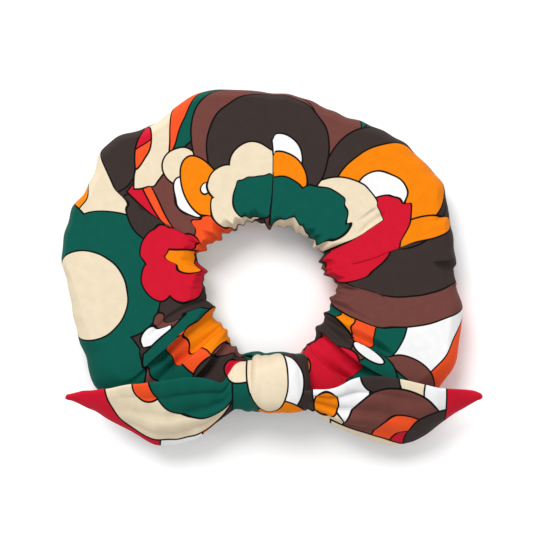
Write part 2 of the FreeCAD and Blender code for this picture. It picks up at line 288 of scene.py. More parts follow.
class Print:
    """A printed pattern of outlined retro shapes, painted one over another."""

    def __init__(self, nodes, coordinates):
        self.nodes = nodes
        self.point = coordinates
        self.color = None

    def distance(self, kind, *sizes):
        return getattr(self, kind)(*sizes)

    def disc(self, x, y, radius):
        apart = self.nodes.measure("DISTANCE", self.point, (x, y, 0))
        return self.nodes.math("SUBTRACT", apart, radius)

    def oval(self, x, y, half_long, half_wide, degrees):
        """An ellipse, with the distance evened out so that its outline has one width all round."""
        turned = self.nodes.add("ShaderNodeMapping", vector_type="TEXTURE")
        self.nodes.link(self.point, turned.inputs["Vector"])
        turned.inputs["Location"].default_value = (x, y, 0)
        turned.inputs["Rotation"].default_value = (0, 0, math.radians(degrees))
        halves = (half_long, half_wide, 1)
        once = self.nodes.vector("DIVIDE", turned.outputs[0], halves)
        twice = self.nodes.vector("DIVIDE", once, halves)
        share = self.nodes.measure("LENGTH", once)
        steepness = self.nodes.math("ADD", self.nodes.measure("LENGTH", twice), NOT_ZERO)
        past = self.nodes.math("MULTIPLY", share, self.nodes.math("SUBTRACT", share, 1.0))
        return self.nodes.math("DIVIDE", past, steepness)

    def flower(self, x, y, radius, petals, depth, degrees):
        """Scalloped petals: a circle whose radius rises and falls as an arched sine."""
        local = self.nodes.vector("SUBTRACT", self.point, (x, y, 0))
        length = self.nodes.measure("LENGTH", local)
        parts = self.nodes.add("ShaderNodeSeparateXYZ")
        self.nodes.link(local, parts.inputs[0])
        angle = self.nodes.math("ARCTAN2", parts.outputs[1], parts.outputs[0])
        turned = self.nodes.math("ADD", angle, math.radians(degrees))
        wave = self.nodes.math("SINE", self.nodes.math("MULTIPLY", turned, petals / 2))
        arch = self.nodes.math("ABSOLUTE", wave)
        bulge = self.nodes.math("MULTIPLY", arch, depth)
        return self.nodes.math("SUBTRACT", length, self.nodes.math("ADD", bulge, radius))

    def side(self, x, y, degrees):
        """Everything to the left of a line through a point."""
        heading = math.radians(degrees)
        normal = (math.sin(heading), -math.cos(heading), 0)
        reach = self.nodes.measure("DOT_PRODUCT", self.point, normal)
        return self.nodes.math("SUBTRACT", reach, normal[0] * x + normal[1] * y)

    def wedge(self, x, y, degrees, spread):
        """A pointed wedge that opens from a point towards a heading."""
        one = self.side(x, y, degrees - spread / 2)
        other = self.side(x, y, degrees + spread / 2 + 180)
        return self.nodes.math("MAXIMUM", one, other)

    def clip(self, first, second):
        """What lies in both of two shapes."""
        return self.nodes.math("MAXIMUM", self.distance(*first), self.distance(*second))

    def either(self, first, second):
        """Two shapes joined into one."""
        return self.nodes.math("MINIMUM", self.distance(*first), self.distance(*second))

    def paint(self, ink, kind, *sizes):
        shape = self.nodes.add("ShaderNodeGroup", node_tree=INK_SHAPE)
        self.nodes.feed(shape.inputs["Under"], self.color)
        self.nodes.link(self.distance(kind, *sizes), shape.inputs["Distance"])
        shape.inputs["Fill"].default_value = (*INK[ink], 1)
        self.color = shape.outputs["Color"]

    def paint_all(self, ground, shapes):
        self.color = (*INK[ground], 1)
        for shape in shapes:
            self.paint(*shape)
        return self.color


# The cover's pattern, in millimetres and degrees about the hole.  Each row is an ink, a kind of shape, and its
# sizes as the kind's method in Print takes them.  A later row is painted over the earlier ones.
COVER_PRINT = [
    # the right front: arcs, a white field and a thin orange edge
    ("white", "disc", 26, -18, 44),
    ("orange", "side", 44.5, -27, 229),
    ("green", "disc", 15, -8, 24.5),
    ("green", "disc", 34, -33, 12),
    ("brown", "clip", ("disc", 36, -32, 12), ("side", 35.5, -24, 320)),
    ("orange", "disc", 13, -7, 17.5),
    ("amber", "disc", 12, -6, 11.5),
    ("green", "disc", 14, -4, 6),
    # the right: a brown band, a dark field, an amber arch round white, a red and a cream band
    ("brown", "disc", 38.5, 30, 42),
    ("charcoal", "disc", 38, 36, 39.6),
    ("brown", "disc", 2, 56, 27),
    ("green", "wedge", 26, 44, 66, 24),
    ("charcoal", "disc", 34, 28, 19),
    ("amber", "oval", 35, 27, 17.5, 13.5, 20),
    ("amber", "oval", 44, 16, 11, 3.8, 16),
    ("white", "oval", 32.5, 27, 7.6, 5.2, -8),
    ("red", "oval", 27.5, 13, 16.5, 8.6, 42),
    ("cream", "clip", ("disc", 19.3, 18.0, 12.9), ("side", 14.7, 8.6, 30)),
    # the left: a dark corner, a cream field, a green flower with a cream disc
    ("charcoal", "disc", -36, 22, 16),
    ("charcoal", "disc", -50, 39, 14),
    ("cream", "clip", ("side", -46.4, 31.2, 114), ("side", -40.6, 22, 83)),
    ("amber", "disc", -63.5, 25.5, 9.6),
    ("brown", "disc", -34, -24, 8),
    ("charcoal", "disc", -34, -14, 9),
    (
        "green", "either",
        ("either", ("disc", -62.5, 12, 12.5), ("disc", -47.5, 5.8, 15.2)),
        ("either", ("disc", -45, -1, 14.8), ("disc", -52, -25, 15.6)),
    ),
    ("cream", "disc", -53.8, -3.4, 13.0),
    ("charcoal", "disc", -23, -7, 8),
    ("brown", "disc", -30, -10.5, 3.4),
    ("white", "oval", -33.4, -14.0, 5.0, 2.7, 38),
    ("green", "clip", ("side", -24.5, -8.4, 223), ("disc", -22, -21, 14.5)),
    # the left back: a cream arch, wedges, a brown field and an amber ring
    ("charcoal", "oval", -34.6, 18.6, 9.8, 5.4, -42),
    ("brown", "oval", -26.5, 21, 13, 5.8, 118),
    ("orange", "clip", ("wedge", -27.6, 14.6, 126, 24), ("disc", -32.5, 21.5, 9)),
    ("red", "clip", ("wedge", -31.5, 18.3, 128, 21), ("disc", -34, 22.5, 8.2)),
    (
        "cream", "clip",
        ("either", ("disc", -38.2, 37, 9.5), ("clip", ("side", -28.9, 40, 91), ("side", -38, 37, 0))),
        ("side", -38.9, 30, 268),
    ),
    ("orange", "clip", ("oval", -39.5, 41, 8, 5.0, 90), ("side", -38.9, 30, 268)),
    (
        "red", "clip",
        ("clip", ("oval", -39.5, 41, 8, 5.0, 90), ("side", -38.1, 38.9, 45)),
        ("side", -38.9, 30, 268),
    ),
    ("green", "clip", ("wedge", -29.5, 35.5, 57, 38), ("side", -27, 38.7, 4)),
    ("orange", "wedge", -29.0, 36.3, 79.5, 22),
    ("cream", "disc", -25.4, 34, 5.4),
    ("brown", "disc", -4, 43, 18.6),
    # the back: a dark arch, a white sector, an amber bow, a cream and a green cloud
    ("charcoal", "disc", -0.5, 39, 17.6),
    ("white", "clip", ("disc", 2.5, 36, 6.8), ("side", 0.0, 30, 270)),
    ("amber", "disc", 2.6, 30, 7.9),
    ("white", "oval", -22.6, 24.8, 7.2, 3.6, 125),
    ("orange", "disc", -15, 13, 6.5),
    ("amber", "oval", -19.2, 27.6, 10.2, 5.5, 116),
    ("white", "disc", -17.6, 26.6, 1.9),
    (
        "cream", "clip",
        ("either", ("either", ("disc", -5.0, 34.4, 6.7), ("disc", -12, 28.2, 6.0)),
         ("either", ("disc", -9.0, 21.0, 7.2), ("disc", -4.5, 28, 6.5))),
        ("side", -0.3, 30, 90),
    ),
    ("green", "disc", -4.4, 24, 6.3),
    (
        "green", "clip",
        ("either", ("disc", 2.3, 23.6, 7.6), ("disc", 13.6, 19.6, 8.6)),
        ("side", -0.3, 24, 270),
    ),
    ("cream", "disc", 4.8, 13.0, 4.9),
    (
        "red", "either",
        ("either", ("disc", -31.4, 9.6, 5.6), ("disc", -24.6, 9.4, 5.6)),
        ("either", ("disc", -31.0, 1.8, 6.0), ("disc", -22.6, 2.0, 6.4)),
    ),
    ("amber", "clip", ("disc", -22.6, 8.2, 5.2), ("side", -22, 8.6, 173)),
    # the left front: arcs that run down to the knot
    ("orange", "disc", -18.2, -18.4, 8.4),
    ("amber", "disc", -12.8, -13.6, 7.9),
    ("brown", "oval", -11.5, -19, 7, 2.8, 40),
    ("charcoal", "oval", -13.5, -24.5, 9, 4.6, 25),
    ("red", "disc", -8.5, -24.5, 4),
    # the right of the knot
    ("green", "disc", 27, -28, 9.5),
    ("charcoal", "oval", 15.5, -15, 10, 6.4, -38),
    ("brown", "disc", 25.5, -19, 2.6),
    ("white", "oval", 28.2, -19.8, 5.2, 1.5, -32),
    ("red", "flower", 14.5, -26, 8.6, 5, 3.4, 10),
    ("amber", "disc", 8.2, -23.5, 3.2),
]

# The scarf's pattern, in the same way.
SCARF_PRINT = [
    # left tail
    ("white", "disc", -22, -46, 11),
    ("red", "side", -30.5, -40, 82),
    ("amber", "disc", -13, -40, 6.5),
    ("charcoal", "disc", -10.4, -36.4, 5.0),
    ("cream", "disc", -28, -25, 18.8),
    ("orange", "disc", -34, -28, 4.5),
    ("green", "disc", -20.8, -23, 13.7),
    # knot
    ("green", "clip", ("disc", -6, -30, 12), ("side", -10.6, -28, 270)),
    ("charcoal", "clip", ("disc", 4, -28, 13), ("side", 3, -28, 270)),
    ("white", "clip", ("disc", -0.4, -27.8, 10), ("side", 1, -28, 270)),
    ("amber", "disc", 3, -39, 6.5),
    ("cream", "oval", -7.8, -24.6, 4.4, 3.1, 10),
    ("cream", "oval", -0.9, -25.2, 11.5, 5.9, 94),
    # right tail
    ("white", "disc", 20, -30, 8),
    ("cream", "disc", 15.5, -40, 5.8),
    ("amber", "disc", 15.8, -33.2, 3.4),
    ("charcoal", "disc", 31.5, -24, 6.4),
    ("cream", "disc", 42, -25.6, 6),
    ("white", "disc", 48, -29.6, 5),
    ("brown", "disc", 35.5, -44.5, 16),
    ("orange", "disc", 38, -45.5, 9.8),
    ("red", "disc", 40, -47, 6.8),
    ("charcoal", "disc", 50, -46, 12.2),
    ("cream", "clip", ("side", 26.5, -41.2, 160), ("side", 17.0, -30, 270)),
    ("red", "side", 49.6, -34, 272),
]


THREADS_PER_MM = 2.6


def new_material(name):
    """A material, its nodes and its shader."""
    material = bpy.data.materials.new(name)
    material.use_nodes = True
    return material, Nodes(material.node_tree), material.node_tree.nodes["Principled BSDF"]


def cloth_print(name, ground, shapes):
    """Matt printed polyester: the pattern, a fine weave, and slight unevenness of colour and gloss."""
    material, nodes, shader = new_material(name)
    where = nodes.add("ShaderNodeAttribute", attribute_name=PRINT_PLACE).outputs["Vector"]

    wobble = nodes.noise(where, scale=0.09, detail=1.0).outputs["Color"]
    centred = nodes.vector("SUBTRACT", wobble, (0.5, 0.5, 0.5))
    moved = nodes.vector("MULTIPLY", centred, (1.0, 1.0, 0.0))
    coordinates = nodes.vector("ADD", where, moved)
    flat = nodes.vector("MULTIPLY", coordinates, (1.0, 1.0, 0.0))
    color = Print(nodes, flat).paint_all(ground, shapes)

    fade = nodes.noise(where, scale=0.35, detail=4.0).outputs["Fac"]
    shade = nodes.ramp(fade, 0.3, 0.7, 0.97, 1.03)
    nodes.link(nodes.mix(1.0, color, shade, "MULTIPLY"), shader.inputs["Base Color"])

    parts = nodes.add("ShaderNodeSeparateXYZ")
    nodes.link(where, parts.inputs[0])
    waves_per_mm = 2 * math.pi * THREADS_PER_MM
    warp, weft = (
        nodes.math("SINE", nodes.math("MULTIPLY", part, waves_per_mm)) for part in parts.outputs[:2]
    )
    weave = nodes.math("MULTIPLY", warp, weft)
    creases = nodes.noise(where, scale=0.16, detail=5.0, roughness=0.45).outputs["Fac"]
    rumple = nodes.bump(creases, strength=0.08, distance=1.4 * MM)
    woven = nodes.bump(weave, strength=0.25, distance=0.05 * MM)
    nodes.link(rumple.outputs[0], woven.inputs["Normal"])
    nodes.link(woven.outputs[0], shader.inputs["Normal"])
    gloss = nodes.ramp(weave, -1.0, 1.0, 0.78, 0.66)
    nodes.link(gloss, shader.inputs["Roughness"])
    shader.inputs["Specular IOR Level"].default_value = 0.06
    shader.inputs["Sheen Weight"].default_value = 0.02
    shader.inputs["Sheen Roughness"].default_value = 0.45
    return material


COVER_CLOTH = cloth_print("cover_cloth", "charcoal", COVER_PRINT)
SCARF_CLOTH = cloth_print("scarf_cloth", "green", SCARF_PRINT)


def plain_material(name, dark, light, scale, roughness, stripes=None):
    """A fibre surface: two tones mottled together, with ribs if stripes is given."""
    material, nodes, shader = new_material(name)
    place = nodes.add("ShaderNodeTexCoord").outputs["Object"]
    speckle = nodes.noise(place, scale=scale, detail=3.0).outputs["Fac"]
    nodes.link(nodes.mix(speckle, (*dark, 1), (*light, 1)), shader.inputs["Base Color"])
    height = speckle
    if stripes:
        ribs = nodes.add("ShaderNodeTexWave", wave_type="BANDS", bands_direction="Z")
        ribs.inputs["Scale"].default_value = stripes
        nodes.link(place, ribs.inputs["Vector"])
        height = ribs.outputs["Fac"]
    bump = nodes.bump(height, strength=0.6, distance=0.15 * MM)
    nodes.link(bump.outputs[0], shader.inputs["Normal"])
    shader.inputs["Roughness"].default_value = roughness
    return material


THREAD = plain_material("sewing_thread", (0.02, 0.015, 0.014), (0.05, 0.04, 0.036), 2500, 0.8)
BRAID = plain_material("elastic_braid", (0.62, 0.61, 0.58), (0.82, 0.81, 0.78), 1800, 0.7, stripes=260)

# ---------------------------------------------------------------- cover

GRIDS = {}  # the points of the cover and of each tail, for the stitches in their seams

# Edges of the relaxed ring about the hole: angle in degrees from +X, and radius.
OUTER_EDGE = [
    (0, 53.2), (10, 53.2), (20, 54.6), (30, 56.2), (40, 56.4), (50, 55.0), (60, 53.0), (70, 52.6),
    (80, 53.6), (90, 54.6), (100, 56.8), (110, 57.4), (120, 56.8), (130, 58.0), (140, 60.6),
    (150, 59.4), (160, 59.6), (170, 60.4), (180, 57.6), (190, 56.2), (200, 56.8), (210, 58.0),
    (220, 54.5), (230, 46.5), (240, 39.6), (250, 36.6), (260, 34.9), (270, 34.4), (280, 34.9),
    (290, 36.8), (300, 41.0), (310, 48.8), (320, 55.0), (330, 56.8), (340, 56.6), (350, 56.2),
]
INNER_EDGE = [
    (0, 18.8), (10, 16.2), (20, 15.4), (30, 16.4), (40, 17.0), (50, 17.0), (60, 16.8), (70, 16.9),
    (80, 16.5), (90, 16.9), (100, 18.0), (110, 19.0), (120, 18.3), (130, 18.6), (140, 19.2),
    (150, 21.0), (160, 21.2), (170, 19.4), (180, 18.7), (190, 18.4), (200, 18.2), (210, 18.5),
    (220, 18.2), (230, 18.6), (240, 20.6), (250, 21.6), (260, 21.5), (270, 21.3), (280, 21.5),
    (290, 21.8), (300, 21.0), (310, 19.8), (320, 18.8), (330, 18.6), (340, 17.6), (350, 18.4),
]
# The heights of the tube's top and bottom round the ring: angle in degrees, and height above the table.
TOP = [
    (0, 19.2), (60, 19.4), (120, 20.0), (180, 20.0), (205, 18.0), (222, 15.6), (240, 15.8),
    (256, 16.6), (270, 16.8), (284, 16.6), (300, 15.8), (318, 15.6), (335, 18.0),
]
BOTTOM = [
    (0, 0.0), (90, 0.0), (180, 0.0), (225, 0.0), (245, 2.0),
    (258, 3.2), (270, 3.4), (282, 3.2), (295, 2.0), (315, 0.0),
]

# Tucked folds that run out from the hole: angle and radius where each starts and ends, how much its line
# bows (degrees), how deep the cloth is tucked in, how high its lip stands, and which side the lip is on:
# 1 where the lip lies clockwise of the fold and hides it, -1 where it lies anticlockwise.
FOLDS = [
    (90, 15, 89, 47, 1.0, 4.0, 0.9, 1),
    (105, 16, 109, 34, -1.0, 1.6, 0.4, -1),
    (70, 16, 66, 36, 1.0, 1.4, 0.3, 1),
    (124, 18, 121, 40, 1.0, 1.6, 0.3, 1),
    (142, 18, 140, 52, -1.5, 2.2, 0.6, -1),
    (152, 19, 149, 56, 1.5, 4.2, 1.0, 1),
    (165, 17, 168, 40, -1.0, 2.4, 0.6, -1),
    (183, 15, 181, 32, 1.0, 1.4, 0.3, 1),
    (194, 15, 208, 44, -2.0, 4.4, 1.2, -1),
    (207, 15, 215, 49, 2.5, 4.4, 1.1, 1),
    (221, 15, 222, 50, -2.0, 4.6, 1.2, -1),
    (234, 16, 230, 44, 2.0, 4.0, 1.1, 1),
    (50, 15, 47, 40, 1.0, 1.6, 0.3, 1),
    (38, 14, 36, 46, -1.5, 2.6, 0.7, -1),
    (28, 14, 31, 53, 2.0, 3.4, 0.8, 1),
    (17, 15, 22, 56, -2.0, 4.4, 1.2, 1),
    (8, 15, 13, 34, 1.0, 2.0, 0.5, -1),
    (14, 36, 3.5, 60, -1.5, 3.4, 0.8, -1),
    (357, 16, 350, 36, 1.0, 3.4, 0.9, -1),
    (343, 16, 339, 40, -1.0, 1.8, 0.4, 1),
    (327, 15, 329, 46, 2.0, 4.6, 1.3, 1),
    (314, 17, 322, 48, -2.0, 4.2, 1.2, -1),
    (301, 18, 311, 44, 2.0, 3.6, 1.0, 1),
]
# One fold: pairs are where a fade starts and where it is complete.
FOLD_FADE_IN = (-0.25, 0.12)  # share of the fold's length
FOLD_FADE_OUT = (0.62, 1.08)
FOLD_LEAST = 0.3  # strength close to the hole, where a fade over the radius begins
FOLD_RADII = (17, 28)
FULL_WIDTH_RADIUS = 30  # nearer the hole, folds are narrower
GENTLE_WIDTH = 5.5  # how far the hollow beyond the tuck reaches
HOLLOW_SHARE = 0.6
LIP_WIDTH = 3.4
LIP_RISE = 1.4
LIP_EDGE = 0.8
TUCK_WIDTH = 1.0
TUCK_SHARE = 0.62
TUCK_LEAN = 0.45  # how far a tuck leans under its lip, as a share of its depth
HIDDEN_TUCK = 3.3  # a tuck deeper than this hides some of the print
HIDDEN_EDGE = 0.3
HIDDEN_REACH = 7.0

# Short gathers all round the hole, with the same eight values as a fold in FOLDS.
PLEATS = 11
PLEAT_SEED = 7
PLEAT_START = 12
PLEAT_END = (22, 31)
PLEAT_LEAN = (-5, 5)
PLEAT_UNEVEN = (-0.3, 0.3)  # as a share of the step from one to the next
PLEAT_BOW = 0.5
PLEAT_TUCK = (0.8, 1.8)
PLEAT_LIP = 0.5

GATHERS = 43
GATHER_DEPTH = 1.8
GATHER_UNEVEN = 1.6

FRONT = 270  # degrees, where the scarf holds the neck
NECK_SPAN = (32, 18)
SQUARENESS = 0.86  # the tube's section: 1 is an oval, less is squarer
NECK_ROUNDING = 0.14  # brings that to 1 at the neck
SECTION_SINK = 0.5  # the section's centre lies this much lower, so that the cloth is pressed on the table
NECK_CALM = 0.85
NEAR_HOLE = (42, 20)  # radii
# Places on the section, from 1 at its top to -1 at its bottom.
CROWN = (0.1, 0.6)
UPPER_SIDE = (-0.8, 0.0)
UNDER_SIDE = (0.1, -0.4)
GATHERED_WALL = (-0.05, -0.5)
SWELL_OFF_CROWN = 0.3
FLOOR_CLEARANCE = 0.25
FLOOR_SOFTNESS = 0.5
PRINT_LEAST_RADIUS = 14

CLOTH_THICKNESS = 0.3
COVER_ROWS = 1260
COVER_COLUMNS = 170


def pleats():
    """Short gathers all round the hole, uneven in place, length and depth."""
    random = np.random.default_rng(PLEAT_SEED)
    found = []
    for number in range(PLEATS):
        angle = (number + random.uniform(*PLEAT_UNEVEN)) * 360 / PLEATS
        reach = random.uniform(*PLEAT_END)
        lean = random.uniform(*PLEAT_LEAN)
        side = 1 if random.random() < 0.5 else -1
        tuck = random.uniform(*PLEAT_TUCK)
        found.append((angle, PLEAT_START, angle + lean, reach, PLEAT_BOW, tuck, PLEAT_LIP, side))
    return found


def fold_moves(angle, radius, fold):
    """What one fold does to the cloth: how it swells, how deep it is tucked, and its print's offset."""
    angle_in, radius_in, angle_out, radius_out, bow, tuck, lip, side = fold
    share = (radius - radius_in) / (radius_out - radius_in)
    inside = np.clip(share, -0.3, 1.2)
    middle = angle_in + (angle_out - angle_in) * inside + bow * np.sin(math.pi * inside)
    apart = side * np.radians(np.mod(angle - middle + 180, 360) - 180) * radius
    strength = smoothstep(share, *FOLD_FADE_IN) * (1 - smoothstep(share, *FOLD_FADE_OUT))
    strength = strength * (FOLD_LEAST + (1 - FOLD_LEAST) * smoothstep(radius, *FOLD_RADII))
    width = np.minimum(1.0, radius / FULL_WIDTH_RADIUS)
    past = smoothstep(apart, -LIP_EDGE * width, LIP_EDGE * width)
    raised = LIP_RISE * lip * (1 - past) * np.exp(-((apart / (LIP_WIDTH * width)) ** 2))
    hollow = HOLLOW_SHARE * tuck * past * np.exp(-np.abs(apart) / (GENTLE_WIDTH * width))
    tucked = TUCK_SHARE * tuck * np.exp(-((apart / (TUCK_WIDTH * width)) ** 2)) * strength
    hidden = side * 0.5 * max(0.0, tuck - HIDDEN_TUCK)
    offset = hidden * np.tanh(apart / HIDDEN_EDGE) * np.exp(-np.abs(apart) / HIDDEN_REACH) * strength
    return (raised - hollow) * strength, tucked, offset


def cover_points():
    """Points of the gathered tube, row by row round the ring, and where each lies on the printed cloth."""
    angle = np.linspace(0, 360, COVER_ROWS, endpoint=False)[:, None]
    around = once_round(COVER_COLUMNS)
    outer, inner, top, bottom = (
        curve_through(edge, angle, 360) for edge in (OUTER_EDGE, INNER_EDGE, TOP, BOTTOM)
    )
    in_neck = smoothstep(np.abs(angle - FRONT), *NECK_SPAN)
    squareness = SQUARENESS + NECK_ROUNDING * in_neck
    outward = -signed_power(np.cos(around), squareness)
    upward = signed_power(np.sin(around), squareness)
    middle = (outer + inner) / 2
    half = (outer - inner) / 2
    centre = (top + bottom) / 2 - SECTION_SINK
    rise = (top - bottom) / 2 + SECTION_SINK
    smooth_radius = radius = middle + half * outward
    smooth_height = height = centre + rise * upward

    x = radius * np.cos(np.radians(angle))
    y = radius * np.sin(np.radians(angle))
    push = np.zeros_like(x)
    turn = np.zeros_like(x)
    offset = np.zeros_like(x)
    on_crown = smoothstep(upward, *CROWN)
    for fold in FOLDS + pleats():
        swell, tucked, shift = fold_moves(angle, radius, fold)
        push += swell * (SWELL_OFF_CROWN + (1 - SWELL_OFF_CROWN) * on_crown) - tucked * on_crown
        turn -= fold[-1] * TUCK_LEAN * tucked * on_crown
        offset += shift * on_crown
    near_hole = smoothstep(radius, *NEAR_HOLE)
    push += 0.5 * ripple(x, y, 26, 3) + 0.12 * ripple(x, y, 11, 5)
    push += (0.3 + 0.35 * near_hole) * ripple(angle * 0.9, radius * 0.16, 8, 11)
    on_top = smoothstep(upward, *UPPER_SIDE)
    calm = 1 - NECK_CALM * in_neck
    push *= on_top * calm
    turn *= on_top * calm
    push += 0.5 * ripple(x, y, 14, 9) * smoothstep(upward, *UNDER_SIDE) * (1 - in_neck)
    gathered = np.sin(np.radians(angle) * GATHERS + GATHER_UNEVEN * ripple(x, y, 20, 13))
    push -= GATHER_DEPTH * (1 + gathered) * smoothstep(upward, *GATHERED_WALL) * near_hole * (1 - in_neck)

    # The moves go straight out from the section's oval, and the cloth is pressed flat on the table.
    steepness = np.hypot(outward * half, upward * rise)
    radius = radius + push * outward * half / steepness
    height = height + push * upward * rise / steepness
    sunk = np.clip((height - FLOOR_CLEARANCE) / FLOOR_SOFTNESS, -30, 30)
    pressed = FLOOR_CLEARANCE + FLOOR_SOFTNESS * np.log1p(np.exp(sunk))
    height = pressed * (1 - in_neck) + height * in_neck
    heading = np.radians(angle) + turn / radius
    points = np.stack([radius * np.cos(heading), radius * np.sin(heading), height], -1)

    # The print is laid on from above at the tube's top, and follows the cloth down its sides.
    quarter = COVER_COLUMNS // 4
    step = np.hypot(np.diff(smooth_radius, axis=1, append=smooth_radius[:, :1]),
                    np.diff(smooth_height, axis=1, append=smooth_height[:, :1]))
    length = np.cumsum(step, axis=1) - step
    printed = middle + length - length[:, quarter:quarter + 1]
    drawn = np.radians(angle) + offset * calm / np.maximum(smooth_radius, PRINT_LEAST_RADIUS)
    place = np.stack([printed * np.cos(drawn), printed * np.sin(drawn), np.zeros_like(printed)], -1)
    return points, place


def make_cover():
    points, place = cover_points()
    GRIDS["cover"] = points
    normals = grid_normals(points)
    centre_line = points.mean(1, keepdims=True)
    if np.mean(np.sum(normals * (points - centre_line), -1)) < 0:
        normals = -normals
    verts, quads = shell(points, grid_faces(COVER_ROWS, COVER_COLUMNS), normals, CLOTH_THICKNESS)
    return add_mesh("cover_cloth", verts, quads, COVER_CLOTH, np.concatenate([place.reshape(-1, 3)] * 2))


cover = make_cover()
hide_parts("cover_upper", "cover_lower")
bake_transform(cover)

# ---------------------------------------------------------------- elastic


ELASTIC_THICKNESS = 1.2
ELASTIC_ROWS = 360
ELASTIC_COLUMNS = 24
ELASTIC_SQUARENESS = 0.4
RIB_HEIGHT = 0.05
RIBS_ACROSS = 12
RIBS_ALONG = 180


def make_elastic():
    """The flat braided band, one closed ring with rounded edges, where the CAD band lies."""
    low, high = (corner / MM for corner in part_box("elastic_upper"))
    angle = np.linspace(0, 2 * math.pi, ELASTIC_ROWS, endpoint=False)[:, None]
    around = once_round(ELASTIC_COLUMNS)
    rib = RIB_HEIGHT * np.sin(around * RIBS_ACROSS) * np.sin(angle * RIBS_ALONG)
    half_thick = ELASTIC_THICKNESS / 2
    half_width = (high.z - low.z) / 2
    radius = high.x - half_thick + (half_thick + rib) * signed_power(np.cos(around), ELASTIC_SQUARENESS)
    height = (low.z + high.z) / 2 + half_width * signed_power(np.sin(around), ELASTIC_SQUARENESS)
    points = np.stack([radius * np.cos(angle), radius * np.sin(angle), height + 0 * angle], -1)
    faces = grid_faces(ELASTIC_ROWS, ELASTIC_COLUMNS)[:, ::-1]
    return add_mesh("elastic_band", points, faces, BRAID)


elastic = make_elastic()
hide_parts("elastic_upper", "elastic_lower")
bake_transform(elastic)

# ---------------------------------------------------------------- scarf: knot and loop in one wrap

KNOT_LEFT = -6.0
KNOT_RIGHT = 11.4
KNOT_RIGHT_SLANT = 0.9
KNOT_SWELL = 4.0
KNOT_SQUARENESS = 0.72
KNOT_CLEARANCE = 0.5  # of the band's outside within the CAD loop
EDGE_PINCH = 1.2
LOOP_INSIDE = 7.55
BAND_HALF = 9.6
WRAP_ROWS = 300
WRAP_COLUMNS = 180
WRAP_LEAST_HEIGHT = 0.15
WRAP_PRINT_RADIUS = 12.0
# The knot's creases: where each crosses X, its slant, its depth, and how far it falls off on its steep and on
# its gentle side.  The gentle side is towards -X when it is negative.
KNOT_CREASES = [
    (-3.6, -1.0, 0.9, 0.7, 2.4),
    (0.4, 0.7, 0.5, 0.8, 3.0),
    (4.6, -0.8, 0.6, 0.7, -2.6),
    (8.4, 0.9, 0.8, 0.6, 2.0),
]
KNOT_CREASE_SOFTNESS = 0.15


def make_wrap():
    """The scarf where it passes round the neck: a band behind, and the swollen knot in front and on top."""
    turn = np.linspace(-math.pi, math.pi, WRAP_ROWS, endpoint=False)[:, None]
    around = once_round(WRAP_COLUMNS)
    facing = np.sin(around)
    front = smoothstep(np.abs(turn), math.radians(125), math.radians(75))
    left = -BAND_HALF + (KNOT_LEFT - np.sin(turn) + BAND_HALF) * front
    right = BAND_HALF + (KNOT_RIGHT + KNOT_RIGHT_SLANT * np.sin(turn) - BAND_HALF) * front
    full = signed_power(np.cos(around), KNOT_SQUARENESS)
    x = (left + right) / 2 + (right - left) / 2 * full
    dome = np.sqrt(np.clip(1 - full**2, 0, 1))
    on_top = smoothstep(np.abs(turn), math.radians(85), math.radians(20))
    outside = LOOP_RADIUS - KNOT_CLEARANCE + KNOT_SWELL * on_top * dome**0.7 - EDGE_PINCH * (1 - dome) ** 2
    creases = np.zeros_like(x)
    fading = 0.45 + 0.55 * smoothstep(np.abs(turn), 0.1, 1.2)
    for offset, slant, depth, steep, gentle in KNOT_CREASES:
        creases -= fading * depth * crease(x - offset - slant * turn, steep, gentle, KNOT_CREASE_SOFTNESS)
    creases += 0.3 * ripple(x, turn * 9, 10, 21)
    outside = outside + creases * smoothstep(facing, 0.0, 0.5) * (0.35 + 0.65 * front)
    edge = (outside + LOOP_INSIDE) / 2
    swell = np.where(facing > 0, outside - edge, edge - LOOP_INSIDE)
    radius = edge + swell * signed_power(facing, 0.5)
    y = NECK_Y - radius * np.sin(turn)
    z = np.maximum(NECK_Z + radius * np.cos(turn), WRAP_LEAST_HEIGHT)
    points = np.stack([x, y, z], -1)
    place = np.stack([x, NECK_Y - WRAP_PRINT_RADIUS * turn + 0 * x, 0 * x], -1)
    return add_mesh("scarf_wrap", points, grid_faces(WRAP_ROWS, WRAP_COLUMNS), SCARF_CLOTH, place)


wrap = make_wrap()
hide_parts("scarf_loop", "scarf_knot")
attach(wrap, "scarf")

# ---------------------------------------------------------------- scarf: the two tails

